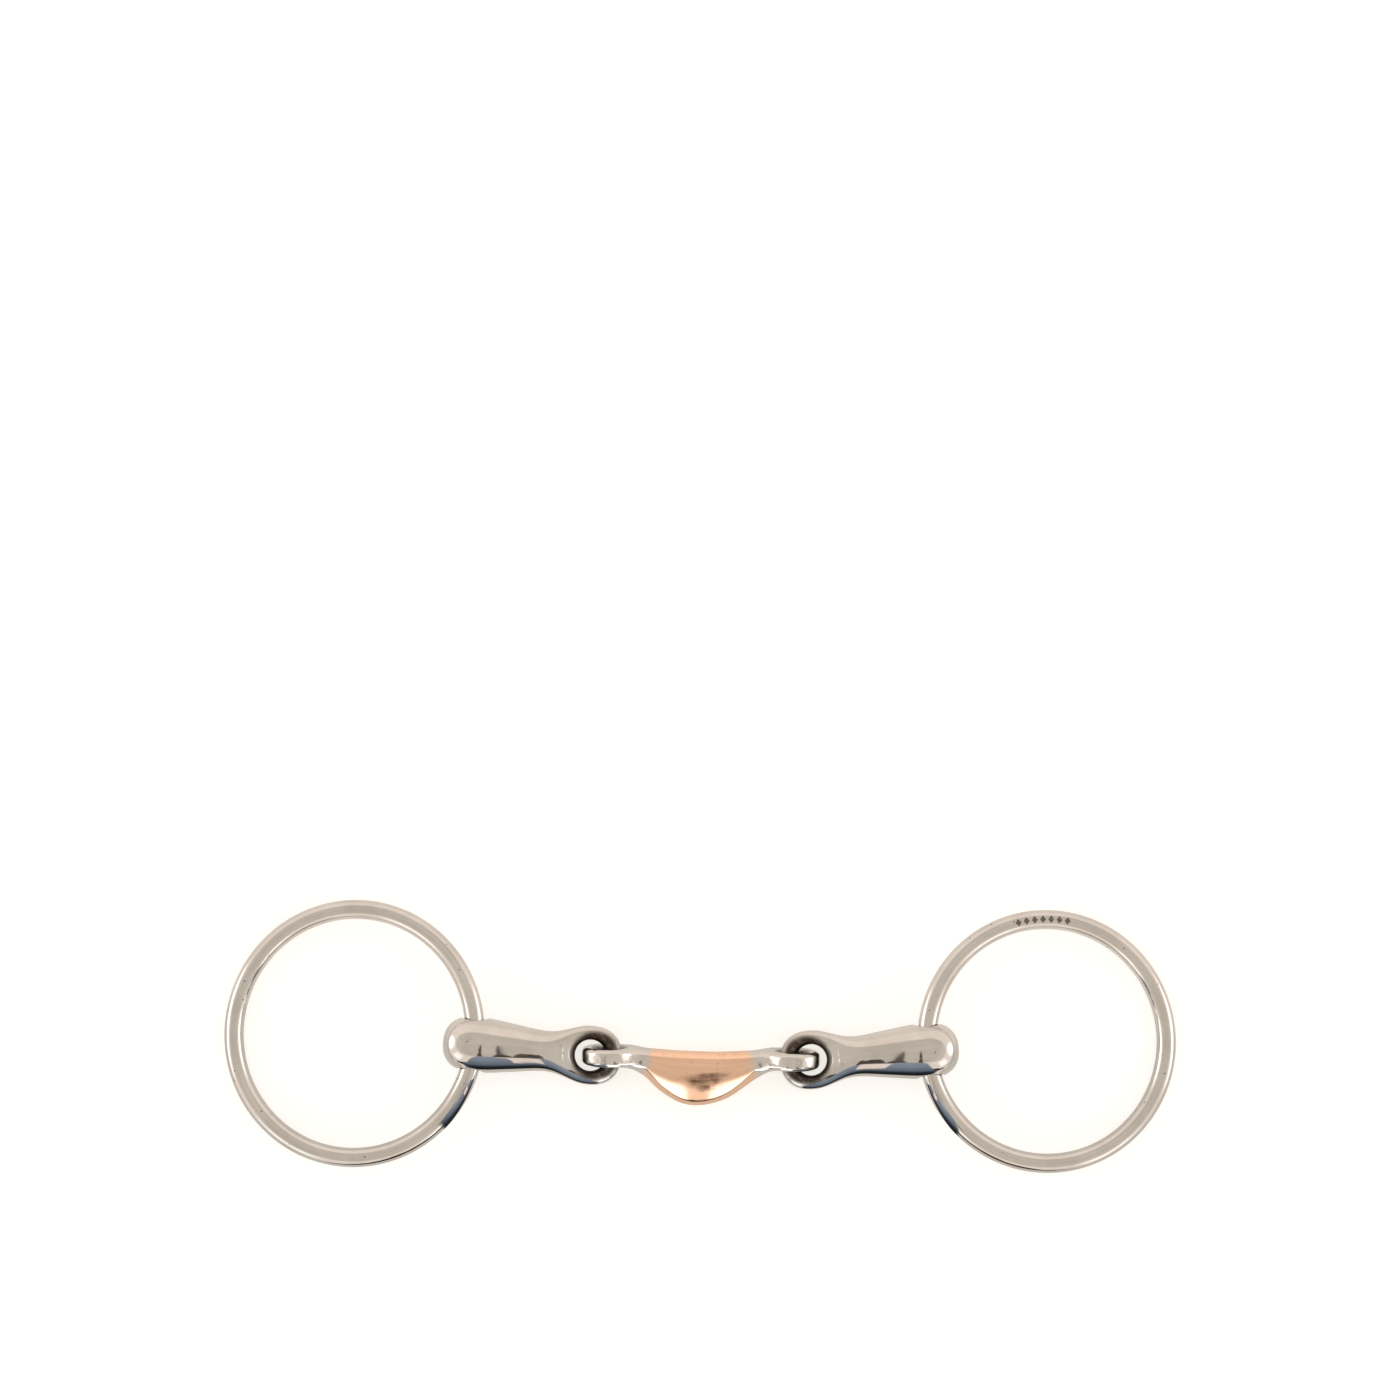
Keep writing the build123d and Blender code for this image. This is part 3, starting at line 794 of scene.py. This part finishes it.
def stage_sheet(name, points, faces, paint):
    """A thin piece of the studio that only reflections see: paint gives its colour and how solid it is."""
    mesh = bpy.data.meshes.new(name)
    mesh.from_pydata(points, [], faces)
    material = bpy.data.materials.new(name)
    material.use_nodes = True
    tree = material.node_tree
    tree.nodes.clear()
    color, solid = paint(tree, add(tree, "ShaderNodeTexCoord").outputs["Object"])
    glow = add(tree, "ShaderNodeEmission", {"Color": color, "Strength": 1.0})
    clear = add(tree, "ShaderNodeBsdfTransparent")
    both = add(tree, "ShaderNodeMixShader", {0: solid, 1: clear.outputs[0], 2: glow.outputs[0]})
    add(tree, "ShaderNodeOutputMaterial", {"Surface": both.outputs[0]})
    mesh.materials.append(material)
    sheet = bpy.data.objects.new(name, mesh)
    bpy.context.scene.collection.objects.link(sheet)
    sheet.visible_camera = False
    sheet.visible_shadow = False
    sheet.visible_diffuse = False


def standing(middle, y, half, top):
    """The corners and face of a card that stands across Y."""
    left, right = middle - half, middle + half
    return [(left, y, 0), (right, y, 0), (right, y, top), (left, y, top)], [[0, 1, 2, 3]]


def reflected_card(name, middle, y, half, top, colors, notch=None):
    """A standing card whose colour changes with height, with a wavy upper edge and rounded upper corners."""
    def paint(tree, where):
        x, _, z = parts_of(tree, where)
        ramp = add(tree, "ShaderNodeValToRGB", {0: maths(tree, "DIVIDE", z, top)})
        stops = ramp.color_ramp.elements
        while len(stops) < len(colors):
            stops.new(0.5)
        for stop, (at, color) in zip(stops, colors):
            stop.position = at
            stop.color = (*color, 1)
        side = maths(tree, "ABSOLUTE", maths(tree, "SUBTRACT", x, middle))
        height = maths(tree, "MULTIPLY_ADD", noise(tree, where, 75.0, 2.0), 0.5 * top, z)
        height = maths(tree, "ADD", height, span(tree, side, half * 0.55, half, 0.0, 0.6 * top))
        if notch:
            off = maths(tree, "ABSOLUTE", maths(tree, "SUBTRACT", x, notch))
            dip = span(tree, off, CARD_NOTCH_HALF * 1.3, CARD_NOTCH_HALF, 0.0, 0.45 * top)
            height = maths(tree, "ADD", height, dip)
        sides = span(tree, side, half, half * 0.90)
        solid = maths(tree, "MULTIPLY", sides, span(tree, height, top * 1.22, top * 1.10))
        return ramp.outputs[0], solid
    stage_sheet(name, *standing(middle, y, half, top), paint)


def pale_card(name, middle):
    """A bright card with soft sides, which gives the copper's flanks their broad highlights."""
    def paint(tree, where):
        x, _, z = parts_of(tree, where)
        side = maths(tree, "ABSOLUTE", maths(tree, "SUBTRACT", x, middle))
        sides = span(tree, side, PALE_HALF, PALE_HALF * 0.6)
        solid = maths(tree, "MULTIPLY", sides, span(tree, z, PALE_TOP, PALE_TOP * 0.6))
        return PALE_LIGHT, maths(tree, "MULTIPLY", solid, span(tree, z, *PALE_FOOT))
    stage_sheet(name, *standing(middle, PALE_Y, PALE_HALF, PALE_TOP), paint)


reflected_card("dark_card_left", -CARD_MIDDLE, CARD_Y, CARD_HALF, CARD_TOP, CARD_COLORS, -CARD_NOTCH)
reflected_card("dark_card_right", CARD_MIDDLE, CARD_Y, CARD_HALF, CARD_TOP, CARD_COLORS, CARD_NOTCH)
reflected_card("dark_skirt", 0.0, SKIRT_Y, SKIRT_HALF, SKIRT_TOP, SKIRT_COLORS)
pale_card("pale_card_left", -PALE_MIDDLE)
pale_card("pale_card_right", PALE_MIDDLE)

# Dark ribbons arched over the front of the bit, which show in its reflections above the cards. Each has its
# place along X in mm, its lean to the side, and half widths in mm at angles from the vertical, negative
# towards the front. Those in SHAPES are mirrored for the two cannons, and the middle one is single.
SHAPES = [(69.5, 0.065, [(-50, 2.4), (-44, 2.3), (-36, 1.6), (-30, 1.1), (-24, 1.6), (-14, 1.3), (-5, 0.7),
                         (2, 0.2)]),
          (62.3, 0.22, [(-50, 4.2), (-46, 3.8), (-42, 2.3), (-36, 1.3), (-20, 1.0), (-6, 0.7), (4, 0.3)]),
          (52.6, 0.22, [(-50, 5.6), (-43, 5.2), (-37, 4.2), (-31, 2.6), (-27, 1.0)])]
MIDDLE_SHAPE = [(-66, 2.0), (-58, 3.5), (-52, 5.0), (-47, 7.0), (-42, 8.0), (-37, 7.0), (-33, 6.0),
                (-29, 4.0), (-25, 1.0)]
SHAPE_DISTANCE = 0.060
SHAPE_CENTRE = (-0.004, 0.014)       # Y and Z of the middle of the arcs
SHAPE_SWEEP = 0.085          # the shapes' feet lie further out, because the cannons rise outwards
SHAPE_COLOR = (0.09, 0.07, 0.06, 1)


def studio_shape(name, x, lean, profile, ragged=0.0):
    """One of the ribbons. A ragged one is partly clear, in blotches."""
    points, faces = [], []
    sweep = math.copysign(SHAPE_SWEEP, lean) if lean else 0.0
    for angle, half in profile:
        a = math.radians(angle)
        middle_x = x * MM + (lean + sweep * math.sin(a)) * SHAPE_DISTANCE
        y = SHAPE_DISTANCE * math.sin(a) + SHAPE_CENTRE[0]
        z = SHAPE_DISTANCE * math.cos(a) + SHAPE_CENTRE[1]
        points += [(middle_x - half * MM, y, z), (middle_x + half * MM, y, z)]
    for k in range(len(profile) - 1):
        faces.append([2 * k, 2 * k + 1, 2 * k + 3, 2 * k + 2])

    def paint(tree, where):
        return SHAPE_COLOR, span(tree, noise(tree, where, 170.0, 5.0, 0.6), 0.42, 0.62, 1.0, 1.0 - ragged)
    stage_sheet(name, points, faces, paint)


for number, (x, lean, profile) in enumerate(SHAPES):
    studio_shape(f"studio_shape_{number}_left", -x, lean, profile)
    studio_shape(f"studio_shape_{number}_right", x, -lean, profile)
studio_shape("studio_shape_middle", 3.0, 0.0, MIDDLE_SHAPE, 0.9)

world = bpy.data.worlds.new("studio")
bpy.context.scene.world = world
world.use_nodes = True
wt = world.node_tree
wt.nodes.clear()
direction = add(wt, "ShaderNodeTexCoord").outputs["Generated"]
dx, dy, dz = parts_of(wt, direction)
zenith = maths(wt, "MULTIPLY", maths(wt, "ARCCOSINE", dz), 180 / math.pi)
BRIGHT = (1.02, 0.90, 0.80, 1)
MIDDLE = (0.74, 0.68, 0.60, 1)
UPPER = (0.66, 0.60, 0.52, 1)
WINDOW = (1.45, 1.40, 1.34, 1)
drift = noise(wt, direction, 2.2, 3.0)
sky = mixed(wt, span(wt, drift, 0.35, 0.65), MIDDLE, UPPER)
ruffled = maths(wt, "MULTIPLY_ADD", noise(wt, direction, 5.0, 2.0), 6.0, zenith)
sky = mixed(wt, span(wt, ruffled, 49.0, 57.0), sky, BRIGHT)


def window(side_x, side_y, side_z, inner, outer):
    """How far a direction lies inside a soft round window."""
    toward = Vector((side_x, side_y, side_z)).normalized()
    dot = add(wt, "ShaderNodeVectorMath", {0: direction, 1: toward}, operation="DOT_PRODUCT").outputs["Value"]
    return span(wt, dot, math.cos(math.radians(outer)), math.cos(math.radians(inner)))


# a soft window on each side
SOFT_WINDOW = (2.1, 2.0, 1.92, 1)
for aim in ((-1, 0.08, 0.22), (1, 0.08, 0.22)):
    sky = mixed(wt, window(*aim, inner=5, outer=26), sky, SOFT_WINDOW)
# two tall windows in front, to the left and the right
PANE_TURN = (22.0, 34.0, 46.0, 60.0)         # degrees from the front
PANE_ZENITH = (52.0, 62.0, 78.0, 86.0)       # degrees from straight up
turn = maths(wt, "MULTIPLY", maths(wt, "ARCTAN2", dx, maths(wt, "MULTIPLY", dy, -1.0)), 180 / math.pi)
turn = maths(wt, "ABSOLUTE", turn)
panes = maths(wt, "MULTIPLY", band(wt, turn, *PANE_TURN), band(wt, zenith, *PANE_ZENITH))
sky = mixed(wt, panes, sky, WINDOW)
plain = add(wt, "ShaderNodeBackground", {"Color": (0.96, 0.96, 0.96, 1), "Strength": 1.0})
room = add(wt, "ShaderNodeBackground", {"Color": sky, "Strength": 1.0})
seen = add(wt, "ShaderNodeLightPath").outputs["Is Camera Ray"]
both = add(wt, "ShaderNodeMixShader", {0: seen, 1: room.outputs[0], 2: plain.outputs[0]})
add(wt, "ShaderNodeOutputWorld", {"Surface": both.outputs[0]})

# ------------------------------------------------------------------ camera
LENS = 110.0
SENSOR = 36.0
PICTURE_WIDTH_MM = 435.0
WIDTH_HEIGHT = 0.008         # the picture has that width at this height, about the middle of the bit
OBJECT_DOWN = 0.2407         # the object lies this share of the picture's width below its middle
ROLL = 1.2
VIEW_SHIFT = 0.0003          # the picture is centred this much to the left of the bounding box
distance = PICTURE_WIDTH_MM * MM * LENS / SENSOR + WIDTH_HEIGHT
centre = (Vector(cad_box[0]) + Vector(cad_box[1])) / 2
camera_data = bpy.data.cameras.new("camera")
camera_data.lens = LENS
camera_data.sensor_width = SENSOR
camera_data.clip_end = 20
camera = bpy.data.objects.new("camera", camera_data)
bpy.context.scene.collection.objects.link(camera)
tip = math.atan(OBJECT_DOWN * SENSOR / LENS)
camera.location = (centre.x - VIEW_SHIFT, centre.y, distance)
camera.rotation_euler = (tip, 0, math.radians(ROLL))
bpy.context.scene.camera = camera
bpy.context.scene.view_settings.view_transform = "Standard"
